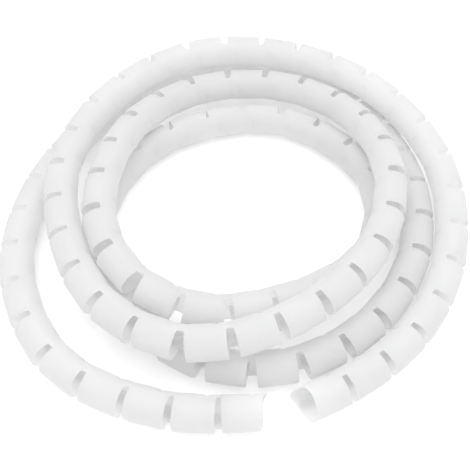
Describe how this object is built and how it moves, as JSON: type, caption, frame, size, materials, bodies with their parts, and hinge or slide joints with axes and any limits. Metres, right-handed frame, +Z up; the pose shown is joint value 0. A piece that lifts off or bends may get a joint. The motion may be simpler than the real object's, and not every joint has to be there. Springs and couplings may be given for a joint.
{
  "type": "spiral cable wrap",
  "caption": "Loose coil of slotted plastic tube whose curled bands stand off one lengthwise spine, for bundling cables.",
  "frame": {"origin": "on the floor, at the middle of the coil's box", "axes": "+Z up out of the floor; the coil lies flat, with its two open ends side by side at -Y"},
  "size_m": [0.2866, 0.2854, 0.0421],
  "materials": {
    "white_plastic": "satin white polyethylene, slightly translucent, smooth outside"
  },
  "bodies": {
    "root": {"spiral_wrap": "white_plastic"}
  },
  "joints": []
}
